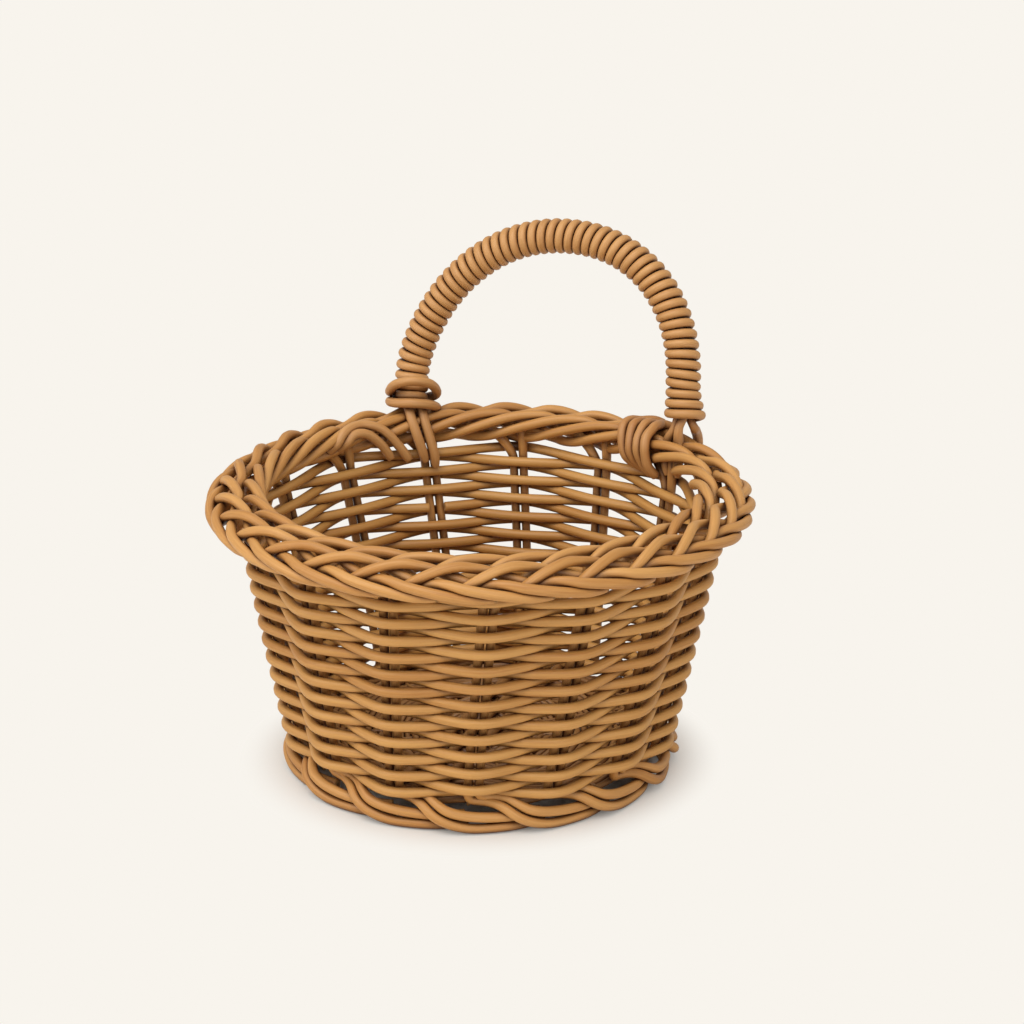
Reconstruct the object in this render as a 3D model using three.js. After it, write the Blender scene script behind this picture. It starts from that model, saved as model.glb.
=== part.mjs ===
// A round hanging storage basket woven from thick round cane, with one fixed carrying arch.
// Thirty stakes, in fifteen pairs, make the foot border, the uprights and the plaited rim.
// One long weaver spirals up between them, and three rods bound with a strand make the arch.
// Units are millimetres, +Z is up, the origin is on the floor under the basket's axis,
// and the arch stands over the back of the rim, on the +Y side.
import * as THREE from "three";

// Strands
const STRAND = 4; // thickness of the round cane, and the pitch of strands that touch
const SHAVE = 0.6; // how much thinner a strand is drawn, so that touching strands stay apart
const STRAND_SIDES = 5;
const CHORD_ERROR = 0.46; // how far a drawn strand may cut the corner of its smooth route

// Basket body
const PAIRS = 15;
const STAKE_CIRCLE_AT_FOOT = 75.2; // radius of the ring of stakes where weaving starts
const STAKE_CIRCLE_AT_TOP = 92.8;
const FOOT_HEIGHT = 14; // from the floor to the start of weaving
const WALL_HEIGHT = 87; // from there to the end of weaving
const STAKE_LEAN = THREE.MathUtils.degToRad(4.5); // turn of each stake round the axis, foot to top
const ROW_PITCH = 3.84; // rise of the weaving in one round
const WEAVER_LENGTHS = 4; // lengths of cane that follow one another up the wall
const WEAVER_REACH = 1.2; // bend of the weaving to each side of the ring of stakes, in strands
const FIRST_PAIR = 2; // pair at which the weaving starts

// Plaited rim
const RIM_OVERHANG = 5.6; // from the ring of stakes out to the middle of the plait
const RIM_RISE = 12; // from the end of weaving up to the middle of the plait

// Handle
const ARCH_SPAN = 122; // between the middles of the legs
const ARCH_RISE = 71.5; // from the legs' ends to the arch's top, middle lines
const LEG_RISE = 12; // from the middle of the plait up to the legs' ends
const LEG_SETBACK = 78; // from the basket's axis back to the legs' ends
const ARCH_SHIFT = -4.5; // the arch stands a little to the left
const ARCH_LEAN = THREE.MathUtils.degToRad(15.5); // the arch leans back
const ARCH_SKEW = THREE.MathUtils.degToRad(5); // and to the right
const LEG_SHARE = 0.08; // straight part of a leg, as a share of the arch's rise
const ARCH_SQUARENESS = 2.1; // exponent of the arch's curve, 2 being an ellipse
const ROD = 3; // thickness of a core rod
const ROD_SIDES = 6;
const ROD_STEPS = 24; // steps of a rod through the arch
const ROD_SPLAY = 1.35; // how much further apart the rods stand where they leave the binding

// Directions round the plait, in degrees, 0 being outwards and 90 upwards
const TOP_OF_RIM = 90;
const ROD_INNER_END = 225;
const ROD_OUTER_END = -45;
const TIE_OUTER_START = -30;
const CROSS_TIE_START = 80;
const TIE_INNER_END = 195;
const WRAP_STEPS = 8; // steps in one turn of the binding
const WRAP_PITCH = 4.1;
const WRAP_SHAVE = 0.9; // drawn thinner than the other strands, so that its turns stay apart
const WRAP_MARGIN = 0.018; // bare share of the arch at each end of the binding

// Base
const BASE_THICKNESS = 3.6;
const BASE_STICKS = 3; // in each direction
const BASE_STICK_PITCH = 8;

const touch = STRAND - SHAVE; // drawn thickness of a strand
const skin = 0.3; // air between two pieces that bear on each other
const seat = 0.1; // air between a tie or a rod and the drawn strands it lies on
const period = Math.PI / PAIRS; // angle between two strands of the plait
const spacing = 2 * period; // angle between two pairs of stakes
const front = -Math.PI / 2; // a pair stands exactly at the front
const wallTop = FOOT_HEIGHT + WALL_HEIGHT;
const rimRadius = STAKE_CIRCLE_AT_TOP + RIM_OVERHANG; // middle of the plait
const rimHeight = wallTop + RIM_RISE;

const caneColours = { stake: "#b98a4f", weaver: "#a97a42", handle: "#b5854a", base: "#9c7040" };

function cane(colour) {
  return new THREE.MeshStandardMaterial({ color: colour, roughness: 0.5, metalness: 0 });
}

function polar(angle, radius, height) {
  return new THREE.Vector3(radius * Math.cos(angle), radius * Math.sin(angle), height);
}

// Radius of the ring of stakes at a height.
function wallRadius(height) {
  const share = (height - FOOT_HEIGHT) / WALL_HEIGHT;
  return THREE.MathUtils.lerp(STAKE_CIRCLE_AT_FOOT, STAKE_CIRCLE_AT_TOP, share);
}

// How far a stake has turned round the axis at a height, against its place at the top.
function leanAt(height) {
  const share = THREE.MathUtils.clamp((height - FOOT_HEIGHT) / WALL_HEIGHT, 0, 1);
  return STAKE_LEAN * (share - 1);
}

// A smooth route through points, walked in short steps.
function smooth(points, step = 0.6) {
  const curve = new THREE.CatmullRomCurve3(points, false, "centripetal");
  const count = Math.ceil(curve.getLength() / step);
  return curve.getSpacedPoints(count);
}

// Leaves out the points of a route that lie within an error of the chord past them.
function thin(points, error = CHORD_ERROR) {
  const first = points[0];
  const last = points[points.length - 1];
  const chord = new THREE.Line3(first, last);
  const nearest = new THREE.Vector3();
  let worst = 0;
  let at = 0;
  for (let i = 1; i < points.length - 1; i++) {
    chord.closestPointToPoint(points[i], true, nearest);
    const distance = nearest.distanceTo(points[i]);
    if (distance > worst) {
      worst = distance;
      at = i;
    }
  }
  if (worst <= error) return [first, last];
  return [...thin(points.slice(0, at + 1), error).slice(0, -1), ...thin(points.slice(at), error)];
}

// A closed tube of flat sides along a route. On the floor it lies on one of its flat sides,
// and nothing of it goes under the floor.
function tube(points, thickness, sides) {
  const position = [];
  const index = [];
  const normal = new THREE.Vector3();
  let before = null;
  points.forEach((point, i) => {
    const back = points[Math.max(i - 1, 0)];
    const ahead = points[Math.min(i + 1, points.length - 1)];
    const incoming = point.clone().sub(back).normalize();
    const outgoing = ahead.clone().sub(point).normalize();
    const tangent = incoming.add(outgoing).normalize();
    if (before === null) {
      const aside = Math.abs(tangent.z) > 0.9 ? new THREE.Vector3(1, 0, 0) : new THREE.Vector3(0, 0, 1);
      normal.crossVectors(tangent, aside).normalize();
    } else {
      normal.applyQuaternion(new THREE.Quaternion().setFromUnitVectors(before, tangent));
      normal.addScaledVector(tangent, -normal.dot(tangent)).normalize();
    }
    before = tangent;
    const side = new THREE.Vector3().crossVectors(tangent, normal);
    for (let k = 0; k < sides; k++) {
      const turn = (2 * Math.PI * k) / sides - Math.PI / 2;
      const corner = point.clone();
      corner.addScaledVector(normal, (Math.cos(turn) * thickness) / 2);
      corner.addScaledVector(side, (Math.sin(turn) * thickness) / 2);
      position.push(corner.x, corner.y, Math.max(corner.z, 0));
    }
  });
  const rings = points.length;
  for (let i = 0; i < rings - 1; i++) {
    for (let k = 0; k < sides; k++) {
      const a = i * sides + k;
      const b = i * sides + ((k + 1) % sides);
      index.push(a, b, b + sides, a, b + sides, a + sides);
    }
  }
  const end = (rings - 1) * sides;
  for (let k = 1; k < sides - 1; k++) {
    index.push(0, k + 1, k);
    index.push(end, end + k, end + k + 1);
  }
  const geometry = new THREE.BufferGeometry();
  geometry.setAttribute("position", new THREE.Float32BufferAttribute(position, 3));
  geometry.setIndex(index);
  return geometry;
}

function strandMesh(name, points, material, thickness = touch, sides = STRAND_SIDES) {
  const mesh = new THREE.Mesh(tube(points, thickness, sides), material);
  mesh.name = name;
  return mesh;
}

// Foot border. Each pair turns forwards below the weaving, passes outside the next pair,
// tucks under it along the floor and ends inside the pair after that.
// A row is spacings forwards, strands outwards from the ring of stakes, strands above the floor.
const floorLine = 0.34; // middle of a strand that lies on the floor with a flat side, in strands
const forwardFoot = [
  [0.09, 0.1, 2.85],
  [0.2, 0.05, 2.52],
  [0.45, 0.15, 2.5],
  [0.65, 0.6, 2.47],
  [0.85, 0.95, 2.3],
  [1.2, 0.98, 1.75],
  [1.42, 0.98, 1.25],
  [1.58, 0.82, 0.65],
  [1.72, 0.4, floorLine],
  [2.0, -0.35, floorLine],
  [2.2, -0.6, floorLine],
];
const backwardFoot = [
  [-0.045, 0.02, 2.5],
  [0.03, -0.05, 1.85],
  [0.15, -0.05, 1.53],
  [0.45, 0.15, 1.5],
  [0.65, 0.55, 1.5],
  [0.85, 0.9, 1.35],
  [1.1, 0.95, 0.92],
  [1.3, 0.8, 0.58],
  [1.45, 0.45, floorLine],
  [1.7, -0.5, floorLine],
  [2.0, -1.35, floorLine],
  [2.12, -1.45, floorLine],
];

// Plaited rim. Each strand turns outwards under the rim, rises between two others, arches over
// the top, dives under the next strand, arches over the inner edge, runs down the inner face,
// passes back to the outside and ends as a long stroke low on the outer face.
// A row is periods forwards, strands outwards and strands upwards from the middle of the plait.
const plait = [
  [0.0, 0.65, -1.3],
  [0.14, 1.4, -0.4],
  [0.27, 1.5, 0.45],
  [0.5, 0.85, 1.25],
  [0.75, 0.1, 1.45],
  [1.0, -0.5, 1.3],
  [1.5, -1.15, 0.65],
  [2.0, -1.55, 1.05],
  [2.3, -1.95, 1.3],
  [2.7, -2.5, 0.9],
  [3.25, -2.8, -0.3],
  [3.65, -2.5, -1.2],
  [4.0, -1.65, -1.45],
  [4.5, -0.55, -0.85],
  [5.0, 0.1, -0.35],
  [5.25, 0.5, -0.25],
  [5.6, 1.5, -0.15],
  [6.0, 2.25, -0.45],
  [6.5, 2.45, -0.9],
  [7.55, 2.25, -2.0],
];

// The whole route of a stake: foot border, upright and plait.
// A pair's forward strand joins the plait one period ahead of its backward strand.
function stakeRoute(pair, forward) {
  const top = front + pair * spacing;
  const foot = top - STAKE_LEAN;
  const footRows = forward ? forwardFoot : backwardFoot;
  const beside = (forward ? 0.53 : -0.53) * STRAND; // the pair's stakes stand side by side
  const onWall = (height) =>
    polar(top + leanAt(height) + beside / wallRadius(height), wallRadius(height), height);
  const footPoints = footRows.map(([ahead, out, up]) =>
    polar(foot + ahead * spacing, STAKE_CIRCLE_AT_FOOT + out * STRAND, up * STRAND),
  );
  const lowWall = [FOOT_HEIGHT + STRAND, FOOT_HEIGHT].map(onWall);
  const highWall = [wallTop - 2 * STRAND, wallTop - STRAND / 2, wallTop + STRAND / 3].map(onWall);
  const start = top + (forward ? 1.15 : 0.15) * period;
  const plaitPoints = plait.map(([ahead, out, up]) =>
    polar(start + ahead * period, rimRadius + out * STRAND, rimHeight + up * STRAND),
  );
  const lower = smooth([...lowWall, ...footPoints]).reverse();
  const upper = smooth([...highWall, ...plaitPoints]);
  return thin([...lower, ...upper]);
}

// The weaving passes outside one pair and inside the next. Fifteen is odd, so each row changes
// sides against the row below it. Crossings are counted up the wall, and odd ones are inside.
function weaverPoint(crossing) {
  const slope = Math.atan2(STAKE_CIRCLE_AT_TOP - STAKE_CIRCLE_AT_FOOT, WALL_HEIGHT);
  const reach = (WEAVER_REACH * STRAND) / Math.cos(slope);
  const height = FOOT_HEIGHT + STRAND / 2 + (ROW_PITCH * crossing) / PAIRS;
  const side = crossing % 2 === 0 ? 1 : -1;
  const angle = front + (FIRST_PAIR + crossing) * spacing + leanAt(height);
  return polar(angle, wallRadius(height) + side * reach, height);
}

// One length of the weaver. Its ends butt against the next length's behind a pair.
function weaverRoute(length) {
  const rows = Math.floor(WALL_HEIGHT / ROW_PITCH);
  const perLength = (rows * PAIRS) / WEAVER_LENGTHS;
  const insideNear = (crossing) => 2 * Math.round(crossing / 2) - 1;
  const from = insideNear(length * perLength);
  const to = insideNear((length + 1) * perLength);
  const points = [];
  for (let crossing = from; crossing <= to; crossing++) points.push(weaverPoint(crossing));
  const step = points[0].distanceTo(points[1]);
  points[0].lerp(points[1], skin / step);
  points[points.length - 1].lerp(points[points.length - 2], skin / step);
  return points;
}

// Drawn middle lines of the stakes, in short steps, so that what lies on the rim can bear on them.
const stakeLines = [];

function rimPlace(point) {
  return {
    angle: Math.atan2(point.y, point.x),
    out: Math.hypot(point.x, point.y) - rimRadius,
    up: point.z - rimHeight,
  };
}

function rimPoint({ angle, out, up }) {
  return polar(angle, rimRadius + out, rimHeight + up);
}

function noteStakeLine(points) {
  for (let i = 1; i < points.length; i++) {
    const steps = Math.ceil(points[i].distanceTo(points[i - 1]) / 0.5);
    for (let k = 0; k < steps; k++) {
      const point = points[i - 1].clone().lerp(points[i], k / steps);
      if (point.z > rimHeight - 4 * STRAND) stakeLines.push(rimPlace(point));
    }
  }
}

// How far from the plait's middle a strand's middle line stays in a direction round the plait,
// where it bears on the stakes it crosses at that angle of the rim.
function bearing(angle, direction, clear) {
  const outwards = Math.cos(direction);
  const upwards = Math.sin(direction);
  let reach = 0;
  for (const place of stakeLines) {
    const aside = rimRadius * Math.atan2(Math.sin(place.angle - angle), Math.cos(place.angle - angle));
    if (Math.abs(aside) > clear) continue;
    const along = place.out * outwards + place.up * upwards;
    const room = clear ** 2 - aside ** 2 - (place.out ** 2 + place.up ** 2 - along ** 2);
    if (room > 0) reach = Math.max(reach, along + Math.sqrt(room));
  }
  return reach;
}

// Places round the plait on which a strand of the given clearance bears, from one direction to
// another.
function layOver(angleAt, from, to, clear) {
  const steps = Math.round(Math.abs(to - from) / 7.5);
  const places = [];
  for (let i = 0; i <= steps; i++) {
    const direction = THREE.MathUtils.degToRad(THREE.MathUtils.lerp(from, to, i / steps));
    const angle = angleAt(i / steps);
    const reach = bearing(angle, direction, clear);
    places.push({ angle, out: reach * Math.cos(direction), up: reach * Math.sin(direction) });
  }
  return places;
}

// Pulls a line of places taut: drops each place that lies inside the bend of its neighbours.
function tautLine(places, bend) {
  const line = [];
  for (const place of places) {
    while (line.length > 1) {
      const [a, b] = line.slice(-2);
      const turn = (b.out - a.out) * (place.up - b.up) - (b.up - a.up) * (place.out - b.out);
      if (turn * bend < -1e-6) break;
      line.pop();
    }
    line.push(place);
  }
  return line;
}

// Middle line of the arch, from the right foot at 0 to the left foot at 1.
class Arch extends THREE.Curve {
  getPoint(t, target = new THREE.Vector3()) {
    const rise = ARCH_RISE / Math.cos(ARCH_LEAN);
    const leg = rise * LEG_SHARE;
    const legShare = 0.12; // of the curve's parameter
    let along;
    let up;
    if (t < legShare || t > 1 - legShare) {
      along = t < 0.5 ? 1 : -1;
      up = (leg * Math.min(t, 1 - t)) / legShare;
    } else {
      const sweep = (Math.PI * (t - legShare)) / (1 - 2 * legShare);
      const power = 2 / ARCH_SQUARENESS;
      along = Math.sign(Math.cos(sweep)) * Math.abs(Math.cos(sweep)) ** power;
      up = leg + (rise - leg) * Math.sin(sweep) ** power;
    }
    return target.set(
      (ARCH_SPAN / 2) * along + ARCH_SHIFT + up * Math.tan(ARCH_SKEW),
      LEG_SETBACK + up * Math.sin(ARCH_LEAN),
      rimHeight + LEG_RISE + up * Math.cos(ARCH_LEAN),
    );
  }
}

const arch = new Arch();
arch.arcLengthDivisions = 2000;
// Square to the arch's plane, towards the front.
const archFacing = new THREE.Vector3(0, -Math.cos(ARCH_LEAN), Math.sin(ARCH_LEAN));

// A point beside the arch's middle line: forwards out of its plane, and inwards in its plane.
function besideArch(share, forwards, inwards) {
  const middle = arch.getPointAt(share);
  const tangent = arch.getTangentAt(share);
  const inward = new THREE.Vector3().crossVectors(archFacing, tangent);
  return middle.addScaledVector(archFacing, forwards).addScaledVector(inward, inwards);
}

// Rods lie in a bundle of three through the arch. Below the binding two of them run over the
// rim and down its inner face, and the third runs down its outer face.
const bundle = (ROD + skin) / Math.sqrt(3);
const wrapThickness = STRAND - WRAP_SHAVE;
const rodClear = (ROD + touch) / 2 + seat;
const tieClear = touch + seat;

// Angle round the rim of a leg's end. The side is 1 at the right foot and -1 at the left.
function legAngle(side) {
  const end = arch.getPoint(side === 1 ? 0 : 1);
  return Math.atan2(end.y, end.x);
}

// One foot of a rod, from the binding down: it leaves the arch's end and lies on the rim's inner
// or outer face, moved towards the arch's middle by its splay.
function rodFoot(end, side, { inner, splay, lowest }) {
  const which = side === 1 ? 0 : 1;
  const angle = legAngle(side) + (side * splay[which] * STRAND) / rimRadius;
  const onRim = layOver(() => angle, TOP_OF_RIM, inner ? ROD_INNER_END : ROD_OUTER_END, rodClear);
  const places = onRim.filter((place) => place.up > lowest[which] * STRAND);
  const line = tautLine([rimPlace(end), ...places], inner ? -1 : 1);
  return line.slice(1).map(rimPoint);
}

function rodRoute(rod) {
  const through = [];
  for (let i = 0; i <= ROD_STEPS; i++) {
    const atEnd = i === 0 || i === ROD_STEPS;
    const inwards = atEnd ? ROD_SPLAY * rod.inwards : rod.inwards;
    through.push(besideArch(i / ROD_STEPS, rod.forwards, inwards));
  }
  const rightFoot = rodFoot(through[0], 1, rod);
  const leftFoot = rodFoot(through[ROD_STEPS], -1, rod);
  return [...rightFoot.reverse(), ...through, ...leftFoot];
}

// The strand that binds the rods, one unbroken helix from foot to foot.
function wrapRoute() {
  const clear = bundle + ROD / 2 + skin + wrapThickness / 2;
  const radius = clear / Math.cos(Math.PI / WRAP_STEPS);
  const turns = Math.floor(((1 - 2 * WRAP_MARGIN) * arch.getLength()) / WRAP_PITCH);
  const points = [];
  for (let i = 0; i <= turns * WRAP_STEPS; i++) {
    const turn = (2 * Math.PI * i) / WRAP_STEPS;
    const share = THREE.MathUtils.lerp(WRAP_MARGIN, 1 - WRAP_MARGIN, i / (turns * WRAP_STEPS));
    points.push(besideArch(share, radius * Math.cos(turn), radius * Math.sin(turn)));
  }
  return points;
}

// Least air between two turns of a wound strand, measured on its points.
function leastGap(points, stepsPerTurn, thickness) {
  let least = Infinity;
  for (let i = 0; i < points.length; i++) {
    for (let k = i + stepsPerTurn / 2; k < Math.min(points.length, i + 2 * stepsPerTurn); k++) {
      least = Math.min(least, points[i].distanceTo(points[k]) - thickness);
    }
  }
  return least;
}

// A tie laid over the rim to its inner face, from a direction on its outer face or its top. Its
// angles from the back are given at even steps of the way.
function tieRoute(angles, from) {
  const angleAt = (share) => {
    const at = share * (angles.length - 1);
    const i = Math.min(Math.floor(at), angles.length - 2);
    return Math.PI / 2 + THREE.MathUtils.lerp(angles[i], angles[i + 1], at - i);
  };
  const places = layOver(angleAt, from, TIE_INNER_END, tieClear);
  return thin(tautLine(places, -1).map(rimPoint), CHORD_ERROR / 4);
}

// Two loose rings of one strand round the left leg.
function ringRoute() {
  const middle = besideArch(0.99, 0, 0);
  const radius = bundle + ROD / 2 + wrapThickness + 6 * skin + touch / 2;
  const rise = 1.6 * STRAND;
  const turns = 2;
  const steps = 12;
  const points = [];
  for (let i = 0; i <= turns * steps; i++) {
    const turn = (2 * Math.PI * i) / steps - Math.PI / 2;
    const up = (rise * i) / steps;
    const back = up * Math.tan(ARCH_LEAN);
    points.push(
      new THREE.Vector3(
        middle.x + radius * Math.cos(turn),
        middle.y + back + radius * Math.sin(turn),
        middle.z - STRAND / 2 + up,
      ),
    );
  }
  return points;
}

// Woven bottom: a dished disc that bears on the foot border's turned-in ends.
function baseDisc() {
  const radius = STAKE_CIRCLE_AT_FOOT - 0.05 * STRAND - touch / 2 - skin;
  const bottom = 2 * STRAND + skin;
  const rimRound = BASE_THICKNESS / 4;
  const profile = [
    new THREE.Vector2(0, bottom),
    new THREE.Vector2(radius - rimRound, bottom),
    new THREE.Vector2(radius, bottom + rimRound),
    new THREE.Vector2(radius, bottom + BASE_THICKNESS - rimRound),
    new THREE.Vector2(radius - rimRound, bottom + BASE_THICKNESS),
    new THREE.Vector2(0, bottom + BASE_THICKNESS),
  ];
  const disc = new THREE.LatheGeometry(profile, 30).rotateX(Math.PI / 2);
  const mesh = new THREE.Mesh(disc, cane(caneColours.base));
  mesh.name = "base_weave";
  return mesh;
}

// A straight stick across the base, on one side of the disc.
function baseStick(name, offset, across, height) {
  const reach = STAKE_CIRCLE_AT_FOOT - touch / 2 - skin - STRAND;
  const half = Math.sqrt(reach ** 2 - offset ** 2);
  const from = new THREE.Vector3(across ? offset : -half, across ? -half : offset, height);
  const to = new THREE.Vector3(across ? offset : half, across ? half : offset, height);
  return strandMesh(name, [from, to], cane(caneColours.base), touch, 8);
}

const basket = new THREE.Group();

for (let pair = 0; pair < PAIRS; pair++) {
  const label = String(pair + 1).padStart(2, "0");
  for (const [letter, forward] of [["_a", false], ["_b", true]]) {
    const route = stakeRoute(pair, forward);
    noteStakeLine(route);
    basket.add(strandMesh("stake_" + label + letter, route, cane(caneColours.stake)));
  }
}

for (let i = 0; i < WEAVER_LENGTHS; i++) {
  basket.add(strandMesh("wall_weaver_" + (i + 1), weaverRoute(i), cane(caneColours.weaver)));
}

// Forwards and inwards place a rod in the bundle. Splay and lowest place are in strands, at the
// right foot and at the left foot.
const aside = (bundle * Math.sqrt(3)) / 2;
const rods = [
  { forwards: bundle / 2, inwards: aside, inner: true, splay: [1, 1.7], lowest: [-0.75, -1.5] },
  { forwards: bundle / 2, inwards: -aside, inner: true, splay: [-0.45, 0.1], lowest: [-0.75, -1.5] },
  { forwards: -bundle, inwards: 0, inner: false, splay: [0, 0], lowest: [-0.75, -0.75] },
];
rods.forEach((rod, i) => {
  const route = rodRoute(rod);
  basket.add(strandMesh("handle_rod_" + (i + 1), route, cane(caneColours.handle), ROD, ROD_SIDES));
});

const wrap = wrapRoute();
basket.add(strandMesh("handle_wrap", wrap, cane(caneColours.handle), wrapThickness));
console.log("least gap in the binding:", leastGap(wrap, WRAP_STEPS, wrapThickness).toFixed(2), "mm");

basket.add(strandMesh("left_ring_tie", ringRoute(), cane(caneColours.handle)));

// Ties over the rim, one beside the other: angles from the back of the first tie and from one
// tie to the next, in degrees, at even steps of the way.
function addTies(name, count, firstAngles, fan, from) {
  for (let i = 0; i < count; i++) {
    const angles = firstAngles.map((angle, k) => THREE.MathUtils.degToRad(angle + fan[k] * i));
    basket.add(strandMesh(name + (i + 1), tieRoute(angles, from), cane(caneColours.handle)));
  }
}

const crossAngles = [58, 55, 52, 49, 46.5, 44];
const crossFan = [3.4, 3.4, 3.4, 3.4, 3.4, 3.4];
addTies("left_cross_tie_", 2, crossAngles, crossFan, CROSS_TIE_START);
const rightAngles = [-27, -27.5, -27.5, -27, -26.5, -26, -26.5, -27];
const rightFan = [2.6, 2.6, 2.7, 2.8, 3.1, 3.2, 3, 2.9];
addTies("right_tie_", 4, rightAngles, rightFan, TIE_OUTER_START);

basket.add(baseDisc());
for (let i = 0; i < BASE_STICKS; i++) {
  const offset = (i - (BASE_STICKS - 1) / 2) * BASE_STICK_PITCH;
  const under = 2 * STRAND - touch / 2;
  const over = 2 * STRAND + 2 * skin + BASE_THICKNESS + touch / 2;
  basket.add(baseStick("base_stick_lower_" + (i + 1), offset, false, under));
  basket.add(baseStick("base_stick_upper_" + (i + 1), offset, true, over));
}

export default basket;
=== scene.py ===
"""Looks of a round hanging storage basket, woven, plaited and bound from smooth round cane.

Every strand is one piece of cane: a middle line worked out from the maker's own steps, which a
Geometry Nodes tree turns into a round strand. Lengths are millimetres until strand_piece() makes
metres of them; materials, floor and lamps are in metres from the start.
"""

import math
import random

import bpy
import numpy as np
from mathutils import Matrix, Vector


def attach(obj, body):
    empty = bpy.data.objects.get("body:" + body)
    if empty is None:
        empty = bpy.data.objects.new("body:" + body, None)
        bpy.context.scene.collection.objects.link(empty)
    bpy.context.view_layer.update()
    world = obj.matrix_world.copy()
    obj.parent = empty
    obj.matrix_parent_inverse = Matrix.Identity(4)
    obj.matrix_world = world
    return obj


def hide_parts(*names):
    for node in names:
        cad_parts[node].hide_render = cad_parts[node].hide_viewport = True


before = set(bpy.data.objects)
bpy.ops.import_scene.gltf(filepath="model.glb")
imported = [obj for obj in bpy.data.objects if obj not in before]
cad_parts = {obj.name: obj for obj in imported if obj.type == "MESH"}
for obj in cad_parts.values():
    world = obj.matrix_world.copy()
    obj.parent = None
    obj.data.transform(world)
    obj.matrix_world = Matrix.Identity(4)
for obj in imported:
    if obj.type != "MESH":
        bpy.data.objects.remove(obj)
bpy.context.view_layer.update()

MM = 0.001

# Strands
STRAND = 4.0  # pitch of strands that touch, and the unit of the plait's rows
CANE = 4.1  # thickness of the cane in the rim, the foot and the ties
UPRIGHT = 3.6  # thickness of a stake in the wall, where the weaving grips it
WEAVER = 4.1
SIDES = 14
STEP = 1.3  # from one ring of points to the next along a strand
LEAST = 1e-6  # keeps a division from being by nothing
LEAST_KNOT = 1e-4
PAIR_HALF = 0.53  # from a pair's middle to each of its stakes, in strands
UPRIGHT_PLACES = 12
GRIP = (9, 15, 95, 107)  # heights between which the weaving's grip sets in and lets go
TAPER_CURVE = 0.7  # under 1, a taper stays full for longer
TIP_LENGTH = 9  # of the tapered end of a stake on the rim
TIP_SHARE = 0.45
TIP_SLANT = -1.6

# Basket body
PAIRS = 15
FOOT_CIRCLE = 75.2  # radius of the ring of stakes where weaving starts
TOP_CIRCLE = 92.8
FOOT_HEIGHT = 14.0
WALL_HEIGHT = 87.0
LEAN = math.radians(4.5)  # of the stakes round the basket, from the foot to the top
ROW_PITCH = 3.84
ROWS = 22
LENGTHS = 4  # lengths of cane that follow one another up the wall
FIRST_ROUND = 8  # more crossings of the first length, low on the foot border at the front
LAST_ROUND = 16  # more crossings of the last length, close under the rim
REACH = 0.98  # bend of the weaving to each side of the stakes, in strands
CREST = 1.9  # length of the flat crest over a pair, in strands
CREST_RISE = 0.22  # climb along a crest, as a share of the climb from one crossing to the next
FIRST_PAIR = 2
RIM_RADIUS = TOP_CIRCLE + 5.6
RIM_HEIGHT = FOOT_HEIGHT + WALL_HEIGHT + 12.0
PLAIT_START = 0.1  # where a pair's backward strand joins the plait, in periods past the pair

# Handle
ARCH_SPAN = 122.0  # between the middles of its legs
ARCH_RISE = 71.5  # from the legs' ends to the top
LEG_RISE = 12.0  # of the legs' ends above the plait's middle
LEG_SETBACK = 78.0  # behind the basket's axis
ARCH_SHIFT = -4.5  # to the right of the axis
ARCH_LEAN = math.radians(15.5)  # backwards
ARCH_SKEW = math.radians(5.0)  # to the right
LEG_SHARE = 0.08  # of the arch's rise, that its straight legs have
LEG_PART = 0.12  # of the way through the arch, that each leg has
ARCH_SQUARENESS = 2.1  # 2 is round
ARCH_POINTS = 2000
ARCH_STEP = 0.25
TANGENT_REACH = 6  # steps to each side
FOOT_DRIFT = ((4.0, 0.0), (3.6, -3.7))  # how far the last of each leg stands to the right and back
DRIFT_HEIGHT = 18.0
DRIFT_CURVE = 1.5
ROD = 3.4
ROD_BUNDLE = 1.95  # from the bundle's middle to a rod's middle
BINDING = 3.9  # thickness of the binding strand
BINDING_RADIUS = 5.5  # of its middle line
BINDING_TURNS = 52
BINDING_FROM = 0.018  # shares of the arch, from its right foot to its left
BINDING_TO = 1.003
LAST_TURN_RADIUS = 7.0
LOOSE_TURNS = 2.5  # turns at the right foot that widen to the last one
TURN_STEPS = 28

PERIOD = math.pi / PAIRS
SPACING = 2 * PERIOD
FRONT = -math.pi / 2
WALL_TOP = FOOT_HEIGHT + WALL_HEIGHT

# The photograph's view
SENSOR = 36.0
CLIP_END = 20  # metres
CAMERA_AZIMUTH = math.radians(21.5)
CAMERA_ELEVATION = math.radians(19.33)
CAMERA_DISTANCE = 1303.0
CAMERA_TARGET_ASIDE = 12.7
CAMERA_TARGET_HEIGHT = 105.8
LENS = 113.9


# Routes of the strands


def polar(angle, radius, height):
    return np.array([radius * math.cos(angle), radius * math.sin(angle), height])


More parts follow.
